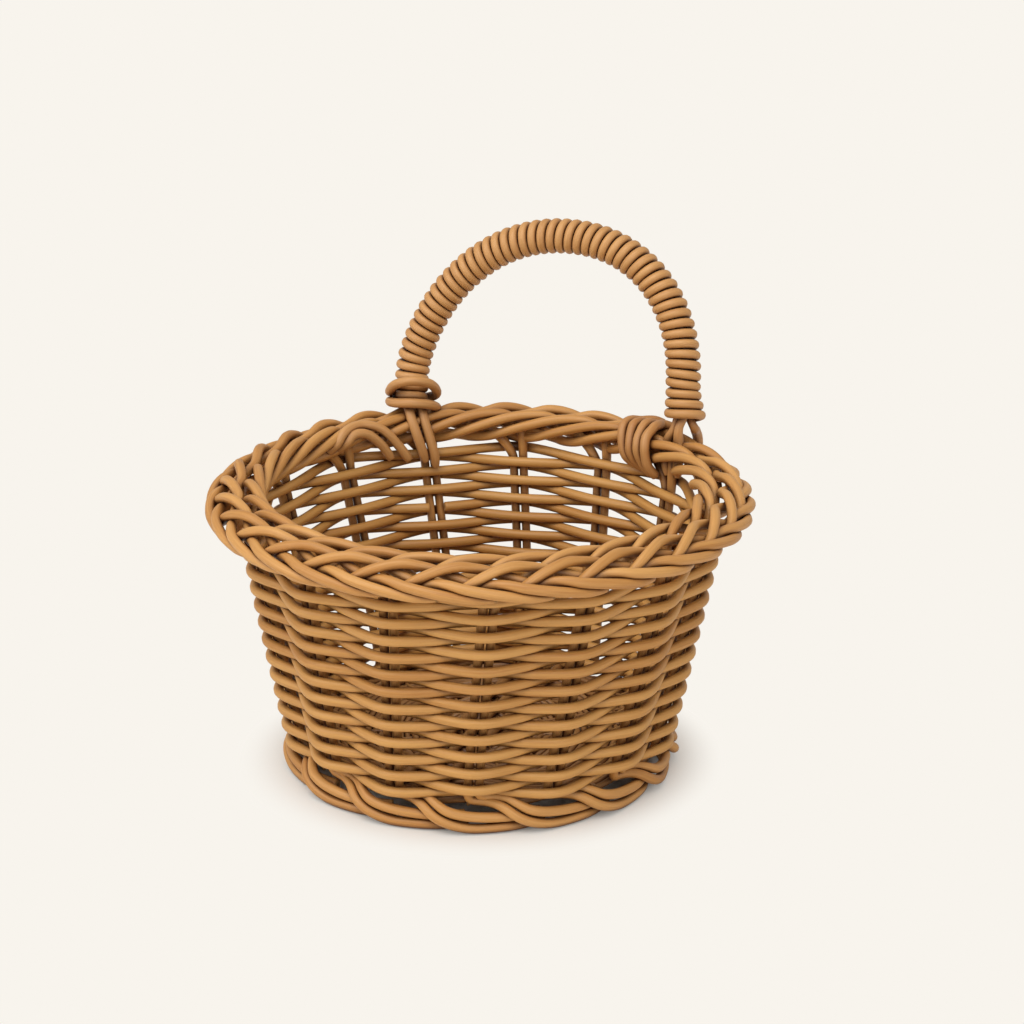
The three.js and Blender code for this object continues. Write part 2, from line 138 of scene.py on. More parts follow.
def smooth(points, step=STEP):
    """A smooth route through points (centripetal Catmull-Rom), in even steps."""
    p = np.asarray(points, float)
    p = np.vstack([2 * p[0] - p[1], p, 2 * p[-1] - p[-2]])
    pieces = []
    for i in range(1, len(p) - 2):
        p0, p1, p2, p3 = p[i - 1 : i + 3]
        knots = [max(np.linalg.norm(b - a) ** 0.5, LEAST_KNOT) for a, b in ((p0, p1), (p1, p2), (p2, p3))]
        t1 = knots[0]
        t2 = t1 + knots[1]
        t3 = t2 + knots[2]
        count = max(2, int(np.linalg.norm(p2 - p1) / step * 2) + 1)
        t = np.linspace(t1, t2, count, endpoint=False)[:, None]
        a1 = (t1 - t) / t1 * p0 + t / t1 * p1
        a2 = (t2 - t) / (t2 - t1) * p1 + (t - t1) / (t2 - t1) * p2
        a3 = (t3 - t) / (t3 - t2) * p2 + (t - t2) / (t3 - t2) * p3
        b1 = (t2 - t) / t2 * a1 + t / t2 * a2
        b2 = (t3 - t) / (t3 - t1) * a2 + (t - t1) / (t3 - t1) * a3
        pieces.append((t2 - t) / (t2 - t1) * b1 + (t - t1) / (t2 - t1) * b2)
    line = np.vstack(pieces + [p[-2][None]])
    return even(line, step)


def even(line, step=STEP):
    """The same line in even steps."""
    line = np.asarray(line, float)
    gone = np.concatenate([[0], np.cumsum(np.linalg.norm(np.diff(line, axis=0), axis=1))])
    count = max(2, int(round(gone[-1] / step)) + 1)
    at = np.linspace(0, gone[-1], count)
    return np.stack([np.interp(at, gone, line[:, k]) for k in range(3)], 1)


def wall_radius(height):
    """Radius of the ring of stakes at a height."""
    return FOOT_CIRCLE + (TOP_CIRCLE - FOOT_CIRCLE) * (height - FOOT_HEIGHT) / WALL_HEIGHT


def lean_at(height):
    """How far round the stakes stand at a height, against their tops."""
    share = min(max((height - FOOT_HEIGHT) / WALL_HEIGHT, 0), 1)
    return LEAN * (share - 1)


# Foot border. Each pair turns forwards close under the weaving, drops outside the pair before it,
# runs along the floor and ends inside, under the drop of the next pair.
# A row is spacings forwards, strands outwards from the ring of stakes, strands above the floor.
ON_FLOOR = CANE / 2 / STRAND
FORWARD_FOOT = [
    (0.15, -0.35, 3.55),
    (0.28, -0.4, 3.5),
    (0.42, -0.1, 3.35),
    (0.54, 0.45, 2.95),
    (0.68, 0.86, 2.4),
    (0.86, 0.85, 2.0),
    (1.11, 0.65, 1.74),
    (1.34, 0.4, 1.62),
    (1.5, 0.05, 1.5),
    (1.7, -0.45, 1.42),
    (1.88, -0.9, 1.4),
]
BACKWARD_FOOT = [
    (-0.03, -0.15, 3.3),
    (0.05, -0.3, 3.15),
    (0.15, -0.3, 3.05),
    (0.28, 0.0, 2.9),
    (0.41, 0.6, 2.5),
    (0.51, 0.98, 1.95),
    (0.62, 1.08, 1.45),
    (0.75, 0.98, 1.0),
    (0.9, 0.78, 0.66),
    (1.03, 0.6, ON_FLOOR),
    (1.3, 0.35, ON_FLOOR),
    (1.55, 0.0, ON_FLOOR),
    (1.72, -0.4, ON_FLOOR),
    (1.92, -0.9, ON_FLOOR),
]

# Plaited rim. Each strand rises on the inner side, arches over the inner edge, runs down the
# inner face and passes outwards under the plait. It then rises between two of the outer strokes,
# arches over the top, dives under the next strand and ends as a long stroke on the outer face.
# A row is periods forwards, strands outwards and strands upwards from the middle of the plait.
PLAIT = [
    (0.1, -1.3, 1.0),
    (0.31, -1.62, 1.35),
    (0.73, -2.15, 1.42),
    (1.15, -2.5, 1.1),
    (1.56, -2.7, 0.58),
    (1.95, -2.65, 0.0),
    (2.2, -2.45, -0.45),
    (2.4, -2.1, -0.85),
    (2.6, -1.6, -1.2),
    (2.8, -1.05, -1.45),
    (2.97, -0.6, -1.55),
    (3.1, -0.15, -1.55),
    (3.4, 0.4, -1.45),
    (3.75, 0.9, -1.25),
    (4.0, 1.15, -1.05),
    (4.25, 1.48, -0.75),
    (4.4, 1.58, -0.4),
    (4.5, 1.57, -0.1),
    (4.64, 1.45, 0.4),
    (4.85, 1.15, 0.95),
    (5.1, 0.7, 1.35),
    (5.35, 0.2, 1.46),
    (5.58, -0.22, 1.2),
    (5.78, -0.42, 0.95),
    (6.0, -0.3, 0.68),
    (6.23, 0.1, 0.4),
    (6.5, 0.55, 0.0),
    (6.64, 0.82, -0.25),
    (6.8, 1.1, -0.15),
    (6.96, 1.35, 0.1),
    (7.2, 1.85, 0.18),
    (7.48, 2.3, -0.02),
    (8.04, 2.48, -0.55),
    (8.45, 2.2, -0.98),
    (8.75, 1.9, -1.22),
    (9.0, 1.6, -1.38),
]
# The way from the wall into the plait. A pair's backward strand goes straight up, and its forward
# strand leans on, as it joins the plait one period ahead.
BACKWARD_RISE = [
    (-0.2, -1.38, -1.9),
    (-0.17, -1.25, -0.9),
    (-0.12, -1.15, 0.0),
    (-0.04, -1.15, 0.55),
]
FORWARD_RISE = [
    (-0.8, -1.4, -1.9),
    (-0.6, -1.25, -1.0),
    (-0.4, -1.15, -0.3),
    (-0.2, -1.12, 0.15),
    (-0.05, -1.15, 0.6),
]


def stake_route(pair, forward):
    """A stake from its end under the foot, up the wall, to its end on the rim."""
    top = FRONT + pair * SPACING
    foot = top - LEAN
    beside = (PAIR_HALF if forward else -PAIR_HALF) * STRAND

    def on_wall(height):
        radius = wall_radius(height)
        return polar(top + lean_at(height) + beside / radius, radius, height)

    foot_points = [
        polar(foot + ahead * SPACING, FOOT_CIRCLE + out * STRAND, up * STRAND)
        for ahead, out, up in (FORWARD_FOOT if forward else BACKWARD_FOOT)
    ]
    # The upright's places are close together at the ends of the wall, where the stake starts to bend.
    low = [on_wall(FOOT_HEIGHT + h * STRAND) for h in (1.5, 0.5)]
    heights = np.linspace(FOOT_HEIGHT + 3 * STRAND, WALL_TOP - 3 * STRAND, UPRIGHT_PLACES)
    middle = [on_wall(h) for h in heights]
    high = [on_wall(h) for h in (WALL_TOP - 2 * STRAND, WALL_TOP - STRAND / 2)]
    start = top + (PLAIT_START + (1 if forward else 0)) * PERIOD
    plait = [
        polar(start + ahead * PERIOD, RIM_RADIUS + out * STRAND, RIM_HEIGHT + up * STRAND)
        for ahead, out, up in (FORWARD_RISE if forward else BACKWARD_RISE) + PLAIT
    ]
    lower = smooth(low + foot_points)[::-1]
    upper = smooth(high + plait)
    return even(np.vstack([lower, np.array(middle), upper]))


def stake_thickness(line):
    """The wall's grip makes a stake thinner there than in the foot and the rim."""
    return np.interp(line[:, 2], GRIP, [CANE, UPRIGHT, UPRIGHT, CANE])


def tapered(line, thick, length, share):
    """Thins the last of a strand, from its full thickness down to a share of it."""
    to_go = np.linalg.norm(np.diff(line, axis=0), axis=1)[::-1].cumsum()[::-1]
    to_go = np.concatenate([to_go, [0]])
    return thick * (share + (1 - share) * np.clip(to_go / length, 0, 1) ** TAPER_CURVE)


def weaver_route(length):
    """One length of the weaver: over one pair, under the next, with a flat crest at each."""
    slope = math.atan2(TOP_CIRCLE - FOOT_CIRCLE, WALL_HEIGHT)
    reach = REACH * STRAND / math.cos(slope)
    per_length = ROWS * PAIRS / LENGTHS
    first = 2 * round(length * per_length / 2) - 1
    last = 2 * round((length + 1) * per_length / 2) - 1
    if length == 0:
        first -= FIRST_ROUND
    if length == LENGTHS - 1:
        last += LAST_ROUND
    points = []
    for crossing in range(first, last + 1):
        side = 1 if crossing % 2 == 0 else -1
        for half in (-0.5, 0.5):
            if crossing == first and half < 0 or crossing == last and half > 0:
                continue
            height = FOOT_HEIGHT + STRAND / 2 + ROW_PITCH * (crossing + half * CREST_RISE) / PAIRS
            angle = FRONT + (FIRST_PAIR + crossing) * SPACING + lean_at(height)
            radius = wall_radius(height)
            points.append(polar(angle + half * CREST * STRAND / radius, radius + side * reach, height))
    return smooth(points)


# Strands that bear on the rim


class RimSurface:
    """The middle lines of the strands in the rim, so that what crosses the rim can lie on it."""

    STEP = 0.6
    DEPTH = 4 * STRAND  # below the plait's middle

    def __init__(self, lines):
        points = np.vstack([even(line, self.STEP) for line in lines])
        points = points[points[:, 2] > RIM_HEIGHT - self.DEPTH]
        self.angle = np.arctan2(points[:, 1], points[:, 0])
        self.out = np.hypot(points[:, 0], points[:, 1]) - RIM_RADIUS
        self.up = points[:, 2] - RIM_HEIGHT

    def reach(self, angle, direction, clear):
        """How far from the plait's middle a strand that crosses it stays, in one direction."""
        turn = np.angle(np.exp(1j * (self.angle - angle)))
        aside = RIM_RADIUS * turn
        along = self.out * math.cos(direction) + self.up * math.sin(direction)
        room = clear**2 - aside**2 - (self.out**2 + self.up**2 - along**2)
        near = (np.abs(aside) < clear) & (room > 0)
        return float(np.max(along[near] + np.sqrt(room[near]))) if near.any() else 0.0


def rim_point(place):
    """A place round the plait as a point: its angle, and how far outwards and upwards it is."""
    angle, out, up = place
    return polar(angle, RIM_RADIUS + out, RIM_HEIGHT + up)


# The arch


def arch_middle(t):
    """Middle line of the arch, from the right foot at 0 to the left foot at 1."""
    rise = ARCH_RISE / math.cos(ARCH_LEAN)
    leg = rise * LEG_SHARE
    if t < LEG_PART or t > 1 - LEG_PART:
        along = 1 if t < 0.5 else -1
        up = leg * min(t, 1 - t) / LEG_PART
    else:
        sweep = math.pi * (t - LEG_PART) / (1 - 2 * LEG_PART)
        power = 2 / ARCH_SQUARENESS
        along = math.copysign(abs(math.cos(sweep)) ** power, math.cos(sweep))
        up = leg + (rise - leg) * math.sin(sweep) ** power
    aside, back = FOOT_DRIFT[0 if t < 0.5 else 1]
    drift = max(0.0, 1 - up / DRIFT_HEIGHT) ** DRIFT_CURVE
    return np.array(
        [
            ARCH_SPAN / 2 * along + ARCH_SHIFT + up * math.tan(ARCH_SKEW) + aside * drift,
            LEG_SETBACK + up * math.sin(ARCH_LEAN) + back * drift,
            RIM_HEIGHT + LEG_RISE + up * math.cos(ARCH_LEAN),
        ]
    )


ARCH_LINE = even(np.array([arch_middle(i / ARCH_POINTS) for i in range(ARCH_POINTS + 1)]), ARCH_STEP)
ARCH_FACING = np.array([0.0, -math.cos(ARCH_LEAN), math.sin(ARCH_LEAN)])


def beside_arch(share, forwards, inwards):
    """A point beside the arch's middle line: out of its plane to the front, and inwards in it."""
    at = share * (len(ARCH_LINE) - 1)
    i = min(max(int(at), 0), len(ARCH_LINE) - 2)
    middle = ARCH_LINE[i] + (ARCH_LINE[i + 1] - ARCH_LINE[i]) * (at - i)
    before = ARCH_LINE[max(i - TANGENT_REACH, 0)]
    after = ARCH_LINE[min(i + TANGENT_REACH + 1, len(ARCH_LINE) - 1)]
    tangent = (after - before) / np.linalg.norm(after - before)
    inward = np.cross(ARCH_FACING, tangent)
    return middle + ARCH_FACING * forwards + inward * inwards


# Node tools


def linear(hex_colour):
    """A colour written as sRGB hex, as the linear colour that Blender's sockets take."""
    parts = [int(hex_colour[i : i + 2], 16) / 255 for i in (1, 3, 5)]
    return tuple(c / 12.92 if c <= 0.04045 else ((c + 0.055) / 1.055) ** 2.4 for c in parts) + (1.0,)


def add(tree, kind, settings=None, inputs=None):
    """Adds a node with its settings and links. An input is a value or another node's socket."""
    node = tree.nodes.new(kind)
    for key, value in (settings or {}).items():
        setattr(node, key, value)
    for key, value in (inputs or {}).items():
        if isinstance(value, bpy.types.NodeSocket):
            tree.links.new(value, node.inputs[key])
        else:
            node.inputs[key].default_value = value
    return node


# Materials


# Cane. Fibres are 0.2 mm wide, and drawn 0.45 mm wide and 12 mm long so that they show. The broader
# streaks are about 1.4 mm wide and 40 mm long. Both are counted in a metre along and across a strand.
FIBRES = (80, 2200, 2200)
STREAKS = (25, 700, 700)
FIBRE_SHARE = 0.7  # of the fibres in the colour, against 1 of the streaks
TINT_SHARE = 0.4  # of the strand's own tint in the colour
COLOUR_RANGE = (0.65, 1.35)  # of the sum of these, from the dark colour to the light one
FIBRE_RELIEF = 0.00012
SATIN = 0.48
BARK_IOR = 1.5

# Painted shade: within about 5 mm of where strands meet, the cane's colour is darkened towards a dark
# red-brown.
PAINTED_SHADE_COLOUR = "#4c1c03"
PAINTED_SHADE_REACH = 0.005
PAINTED_SHADE_RANGE = (0.2, 0.85)  # shares of open sky, from full painted shade to none

# Cut ends. The dark pith is 0.6 mm across, and pores are about 0.3 mm apart.
PITH_RADIUS = 0.0003
PALE_RADIUS = 0.0014
PORES = 3500.0
PORE_SHARE = 0.6
DRY = 0.8


def new_material(name):
    material = bpy.data.materials.new(name)
    material.use_nodes = True
    material.node_tree.nodes.clear()
    return material, material.node_tree


def cane_material(name, light, dark):
    """Smooth round cane with its bark on, waxed: a satin gloss along the strand, fine lengthwise
    fibres, a slow drift of colour from strand to strand and along each one, and painted shade where
    strands meet."""
    material, tree = new_material(name)
    fibre = add(tree, "ShaderNodeAttribute", {"attribute_name": "fibre"})
    strand = add(tree, "ShaderNodeAttribute", {"attribute_name": "strand"})
    stretched = add(
        tree,
        "ShaderNodeMapping",
        {"vector_type": "POINT"},
        {"Vector": fibre.outputs["Vector"], "Scale": FIBRES},
    )
    fibres = add(
        tree,
        "ShaderNodeTexNoise",
        {"noise_dimensions": "3D"},
        {"Vector": stretched.outputs["Vector"], "Scale": 1.0, "Detail": 3.0, "Roughness": 0.6},
    )
    broad = add(
        tree,
        "ShaderNodeMapping",
        {"vector_type": "POINT"},
        {"Vector": fibre.outputs["Vector"], "Scale": STREAKS},
    )
    streaks = add(
        tree,
        "ShaderNodeTexNoise",
        {"noise_dimensions": "3D"},
        {"Vector": broad.outputs["Vector"], "Scale": 1.0, "Detail": 2.0, "Roughness": 0.5},
    )
    mixed = add(
        tree,
        "ShaderNodeMath",
        {"operation": "MULTIPLY_ADD"},
        {0: fibres.outputs["Fac"], 1: FIBRE_SHARE, 2: streaks.outputs["Fac"]},
    )
    drift = add(
        tree,
        "ShaderNodeMath",
        {"operation": "MULTIPLY_ADD"},
        {0: strand.outputs["Fac"], 1: TINT_SHARE, 2: mixed.outputs[0]},
    )
    ramp = add(
        tree,
        "ShaderNodeMapRange",
        {},
        {"Value": drift.outputs[0], 1: COLOUR_RANGE[0], 2: COLOUR_RANGE[1]},
    )
    cane = add(
        tree,
        "ShaderNodeMix",
        {"data_type": "RGBA"},
        {"Factor": ramp.outputs["Result"], "A": linear(dark), "B": linear(light)},
    )
    # Painted shade: ambient occlusion mixes a dark red-brown into the colour where strands meet.
    painted_shade_occlusion = add(tree, "ShaderNodeAmbientOcclusion", {"samples": 6}, {"Distance": PAINTED_SHADE_REACH})
    unshaded_share = add(
        tree,
        "ShaderNodeMapRange",
        {},
        {"Value": painted_shade_occlusion.outputs["AO"], 1: PAINTED_SHADE_RANGE[0], 2: PAINTED_SHADE_RANGE[1]},
    )
    colour = add(
        tree,
        "ShaderNodeMix",
        {"data_type": "RGBA"},
        {"Factor": unshaded_share.outputs["Result"], "A": linear(PAINTED_SHADE_COLOUR), "B": cane.outputs["Result"]},
    )
    relief = add(
        tree,
        "ShaderNodeBump",
        {},
        {"Strength": 0.3, "Distance": FIBRE_RELIEF, "Height": fibres.outputs["Fac"]},
    )
    shader = add(
        tree,
        "ShaderNodeBsdfPrincipled",
        {},
        {"Roughness": SATIN, "IOR": BARK_IOR, "Normal": relief.outputs["Normal"]},
    )
    tree.links.new(colour.outputs["Result"], shader.inputs["Base Color"])
    output = add(tree, "ShaderNodeOutputMaterial", {}, {"Surface": shader.outputs["BSDF"]})
    output.is_active_output = True
    return material


def cut_material(name, pale, pith):
    """The cut end of a strand: dry, open-pored wood, paler at the edge and dark in the middle."""
    material, tree = new_material(name)
    fibre = add(tree, "ShaderNodeAttribute", {"attribute_name": "fibre"})
    across = add(
        tree,
        "ShaderNodeVectorMath",
        {"operation": "MULTIPLY"},
        {0: fibre.outputs["Vector"], 1: (0, 1, 1)},
    )
    distance = add(tree, "ShaderNodeVectorMath", {"operation": "LENGTH"}, {0: across.outputs["Vector"]})
    pores = add(
        tree,
        "ShaderNodeTexNoise",
        {},
        {"Vector": across.outputs["Vector"], "Scale": PORES, "Detail": 2.0},
    )
    edge = add(
        tree,
        "ShaderNodeMapRange",
        {},
        {"Value": distance.outputs["Value"], 1: PITH_RADIUS, 2: PALE_RADIUS},
    )
    worn = add(
        tree,
        "ShaderNodeMath",
        {"operation": "MULTIPLY_ADD", "use_clamp": True},
        {0: pores.outputs["Fac"], 1: PORE_SHARE, 2: edge.outputs["Result"]},
    )
    colour = add(
        tree,
        "ShaderNodeMix",
        {"data_type": "RGBA"},
        {"Factor": worn.outputs[0], "A": linear(pith), "B": linear(pale)},
    )
    shader = add(tree, "ShaderNodeBsdfPrincipled", {}, {"Roughness": DRY, "IOR": BARK_IOR})
    tree.links.new(colour.outputs["Result"], shader.inputs["Base Color"])
    output = add(tree, "ShaderNodeOutputMaterial", {}, {"Surface": shader.outputs["BSDF"]})
    output.is_active_output = True
    return material


STAKE_CANE = cane_material("waxed_cane_stakes", "#d39c58", "#b57b3b")
WEAVER_CANE = cane_material("waxed_cane_weaver", "#cf9a54", "#b47a39")
HANDLE_CANE = cane_material("waxed_cane_handle", "#cd985c", "#b37a42")
# Painted shade: the base's cane is the same cane painted darker, for where it lies in shade under the
# basket and is seen through the wall.
SHADED_BASE_CANE = cane_material("waxed_cane_base_painted_shade", "#a97b46", "#84592e")
CUT_CANE = cut_material("cut_cane_end", "#c89c62", "#6b4520")


# The round strand tree


GRAIN_SHIFT = 37.0  # metres, so that no two strands show the same stretch of grain
SIDE_CORNERS = 4  # a face with more corners is a cut end


def strand_tree():
    """Turns lines into round strands. The points carry half (half thickness, metres), strand
    (a number from 0 to 1 for the strand's own tint) and slant (how an end is cut)."""
    tree = bpy.data.node_groups.new("Round strand", "GeometryNodeTree")
    face = tree.interface
    face.new_socket("Geometry", in_out="INPUT", socket_type="NodeSocketGeometry")
    face.new_socket("Sides", in_out="INPUT", socket_type="NodeSocketInt")
    face.new_socket("Cane", in_out="INPUT", socket_type="NodeSocketMaterial")
    face.new_socket("Cut end", in_out="INPUT", socket_type="NodeSocketMaterial")
    face.new_socket("Geometry", in_out="OUTPUT", socket_type="NodeSocketGeometry")
    given = add(tree, "NodeGroupInput")
    half = add(tree, "GeometryNodeInputNamedAttribute", {"data_type": "FLOAT"}, {"Name": "half"})
    slant = add(tree, "GeometryNodeInputNamedAttribute", {"data_type": "FLOAT_VECTOR"}, {"Name": "slant"})
    start = add(tree, "GeometryNodeInputNamedAttribute", {"data_type": "FLOAT"}, {"Name": "strand"})

    line = add(tree, "GeometryNodeMeshToCurve", {}, {"Mesh": given.outputs["Geometry"]})
    kept = add(
        tree,
        "GeometryNodeCaptureAttribute",
        {"domain": "POINT"},
        {"Geometry": line.outputs["Curve"]},
    )
    along = add(tree, "GeometryNodeSplineParameter")
    place = add(tree, "GeometryNodeInputPosition")
    tangent = add(tree, "GeometryNodeInputTangent")
    for kind, name, socket in (
        ("FLOAT", "Along", along.outputs["Length"]),
        ("VECTOR", "Middle", place.outputs["Position"]),
        ("VECTOR", "Tangent", tangent.outputs["Tangent"]),
    ):
        kept.capture_items.new(kind, name)
        tree.links.new(socket, kept.inputs[name])

    ring = add(
        tree,
        "GeometryNodeCurvePrimitiveCircle",
        {"mode": "RADIUS"},
        {"Resolution": given.outputs["Sides"], "Radius": 1.0},
    )
    round_place = add(tree, "GeometryNodeInputPosition")
    ring_kept = add(
        tree,
        "GeometryNodeCaptureAttribute",
        {"domain": "POINT"},
        {"Geometry": ring.outputs["Curve"]},
    )
    ring_kept.capture_items.new("VECTOR", "Round")
    tree.links.new(round_place.outputs["Position"], ring_kept.inputs["Round"])

    tube = add(
        tree,
        "GeometryNodeCurveToMesh",
        {},
        {
            "Curve": kept.outputs["Geometry"],
            "Profile Curve": ring_kept.outputs["Geometry"],
            "Scale": half.outputs["Attribute"],
            "Fill Caps": True,
        },
    )
    # An end is cut at a slant: each point moves along the strand with its place across it.
    here = add(tree, "GeometryNodeInputPosition")
    across = add(
        tree,
        "ShaderNodeVectorMath",
        {"operation": "SUBTRACT"},
        {0: here.outputs["Position"], 1: kept.outputs["Middle"]},
    )
    amount = add(
        tree,
        "ShaderNodeVectorMath",
        {"operation": "DOT_PRODUCT"},
        {0: across.outputs["Vector"], 1: slant.outputs["Attribute"]},
    )
    shift = add(
        tree,
        "ShaderNodeVectorMath",
        {"operation": "SCALE"},
        {0: kept.outputs["Tangent"], "Scale": amount.outputs["Value"]},
    )
    cut = add(
        tree,
        "GeometryNodeSetPosition",
        {},
        {"Geometry": tube.outputs["Mesh"], "Offset": shift.outputs["Vector"]},
    )

    # The place of each point in the strand before it was bent, which the grain follows.
    unrolled = add(
        tree,
        "ShaderNodeVectorMath",
        {"operation": "SCALE"},
        {0: ring_kept.outputs["Round"], "Scale": half.outputs["Attribute"]},
    )
    parts = add(tree, "ShaderNodeSeparateXYZ", {}, {"Vector": unrolled.outputs["Vector"]})
    own = add(
        tree,
        "ShaderNodeMath",
        {"operation": "MULTIPLY_ADD"},
        {0: start.outputs["Attribute"], 1: GRAIN_SHIFT, 2: kept.outputs["Along"]},
    )
    straight = add(
        tree,
        "ShaderNodeCombineXYZ",
        {},
        {"X": own.outputs[0], "Y": parts.outputs["X"], "Z": parts.outputs["Y"]},
    )
    grain = add(
        tree,
        "GeometryNodeStoreNamedAttribute",
        {"data_type": "FLOAT_VECTOR", "domain": "POINT"},
        {"Geometry": cut.outputs["Geometry"], "Name": "fibre", "Value": straight.outputs["Vector"]},
    )
    corners = add(tree, "GeometryNodeInputMeshFaceNeighbors")
    is_end = add(
        tree,
        "FunctionNodeCompare",
        {"data_type": "INT", "operation": "GREATER_THAN"},
        {2: corners.outputs["Vertex Count"], 3: SIDE_CORNERS},
    )
    is_side = add(tree, "FunctionNodeBooleanMath", {"operation": "NOT"}, {0: is_end.outputs["Result"]})
    shaded = add(
        tree,
        "GeometryNodeSetShadeSmooth",
        {"domain": "FACE"},
        {"Geometry": grain.outputs["Geometry"], "Shade Smooth": is_side.outputs["Boolean"]},
    )
    cane = add(
        tree,
        "GeometryNodeSetMaterial",
        {},
        {"Geometry": shaded.outputs["Geometry"], "Material": given.outputs["Cane"]},
    )
    ends = add(
        tree,
        "GeometryNodeSetMaterial",
        {},
        {
            "Geometry": cane.outputs["Geometry"],
            "Selection": is_end.outputs["Result"],
            "Material": given.outputs["Cut end"],
        },
    )
    solid = add(tree, "GeometryNodeRealizeInstances", {}, {"Geometry": ends.outputs["Geometry"]})
    add(tree, "NodeGroupOutput", {}, {"Geometry": solid.outputs["Geometry"]})
    return tree


STRAND_TREE = strand_tree()
chance = random.Random(5)
SLANT_LENGTH = 2 * CANE  # from an end, over which its slanted cut fades out

# The rounded edge of a cut end, as two more rings of points: how far they stand out, and how thick
# they are as shares of the strand.
EDGE_RINGS = ((0.12, 0.95), (0.25, 0.84))


def strand_piece(name, lines, thickness, material, nodes, end_slant=0.0, sides=SIDES):
    """Makes one piece of round strands along lines and puts it in place of CAD nodes. The
    thickness is one number, or for each line a list with a number for each point."""
    places, edges, halves, tints, slants = [], [], [], [], []
    for number, line in enumerate(lines):
        thick = np.full(len(line), thickness) if np.isscalar(thickness) else thickness[number]
        line, thick = rounded_ends(line, thick)
        first = len(places)
        tint = chance.random()
        tangent = np.gradient(line, axis=0)
        tangent /= np.linalg.norm(tangent, axis=1)[:, None]
        gone = np.concatenate([[0], np.cumsum(np.linalg.norm(np.diff(line, axis=0), axis=1))])
        for i, point in enumerate(line):
            places.append(Vector(point * MM))
            halves.append(thick[i] / 2 * MM)
            tints.append(tint)
            # A slanted cut slopes with the distance from the basket's axis.
            outwards = np.array([point[0], point[1], 0.0])
            outwards -= tangent[i] * outwards.dot(tangent[i])
            outwards /= max(np.linalg.norm(outwards), LEAST)
            fade = max(0.0, 1 - (gone[-1] - gone[i]) / SLANT_LENGTH)
            slants.append(outwards * (fade * end_slant))
            if i:
                edges.append((first + i - 1, first + i))
    mesh = bpy.data.meshes.new(name)
    mesh.from_pydata(places, edges, [])
    for key, kind, values, field in (
        ("half", "FLOAT", halves, "value"),
        ("strand", "FLOAT", tints, "value"),
        ("slant", "FLOAT_VECTOR", np.array(slants).ravel().tolist(), "vector"),
    ):
        mesh.attributes.new(key, kind, "POINT").data.foreach_set(field, values)
    piece = bpy.data.objects.new(name, mesh)
    bpy.context.scene.collection.objects.link(piece)
    weave = piece.modifiers.new("Round strand", "NODES")
    weave.node_group = STRAND_TREE
    sockets = [item for item in STRAND_TREE.interface.items_tree if item.in_out == "INPUT"]
    inputs = {item.name: item.identifier for item in sockets}
    weave[inputs["Sides"]] = sides
    weave[inputs["Cane"]] = material
    weave[inputs["Cut end"]] = CUT_CANE
    bpy.context.view_layer.update()
    graph = bpy.context.evaluated_depsgraph_get()
    made = piece.evaluated_get(graph)
    solid = bpy.data.meshes.new_from_object(made, preserve_all_data_layers=True, depsgraph=graph)
    piece.modifiers.remove(weave)
    piece.data = solid
    solid.name = name
    for spare in ("half", "slant"):
        if spare in solid.attributes:
            solid.attributes.remove(solid.attributes[spare])
    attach(piece, "root")
    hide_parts(*nodes)
    return piece


def rounded_ends(line, thick):
    """Rounds the edge of each cut end a little, so that it catches the light."""
    start = line[0] - line[1]
    start /= np.linalg.norm(start)
    end = line[-1] - line[-2]
    end /= np.linalg.norm(end)
    before = [line[0] + start * out for out, _ in EDGE_RINGS[::-1]]
    after = [line[-1] + end * out for out, _ in EDGE_RINGS]
    thick_before = [thick[0] * share for _, share in EDGE_RINGS[::-1]]
    thick_after = [thick[-1] * share for _, share in EDGE_RINGS]
    return np.vstack(before + [line] + after), np.concatenate([thick_before, thick, thick_after])


# The basket's body

stake_lines = []
for pair in range(PAIRS):
    label = "%02d" % (pair + 1)
    for letter, forward in (("a", False), ("b", True)):
        line = stake_route(pair, forward)
        stake_lines.append(line)
        node = "stake_%s_%s" % (label, letter)
        thick = tapered(line, stake_thickness(line), TIP_LENGTH, TIP_SHARE)
        strand_piece("cane_" + node, [line], [thick], STAKE_CANE, [node], end_slant=TIP_SLANT)

for length in range(LENGTHS):
    node = "wall_weaver_%d" % (length + 1)
    strand_piece("cane_" + node, [weaver_route(length)], WEAVER, WEAVER_CANE, [node])

# The handle

# The feet of the three rods, from the binding down. A place is degrees from the back (to the left
# is more), strands outwards and strands upwards from the plait's middle. At the left foot the first
# two rods lie on the plait's inner face, and at the right foot they go down into the plait. The third
# runs down the outer face at both.
RIGHT_FEET = [
    [(-33.9, -1.1, 1.3), (-34.1, -1.4, 0.2), (-35.0, -1.6, -0.8), (-36.0, -1.6, -2.0)],
    [(-37.9, -0.85, 1.4), (-39.0, -1.2, 0.4), (-39.5, -1.3, -0.6), (-39.6, -1.3, -1.9)],
    [(-34.9, 2.25, 2.0), (-33.7, 2.95, 1.1), (-32.9, 3.35, 0.0), (-32.6, 3.4, -0.8)],
]
LEFT_FEET = [
    [(38.2, -2.0, 2.2), (37.9, -2.9, 1.1), (36.9, -3.5, -0.6), (35.7, -3.7, -2.4), (35.1, -3.6, -3.8)],
    [(41.6, -2.0, 2.25), (41.5, -2.9, 1.25), (40.7, -3.5, -0.05), (39.5, -3.7, -1.5), (38.1, -3.6, -3.1)],
    [(40.0, 0.9, 2.6), (39.6, 2.2, 2.1), (39.3, 3.1, 1.1), (39.0, 3.4, 0.0), (39.0, 3.4, -0.8)],
]
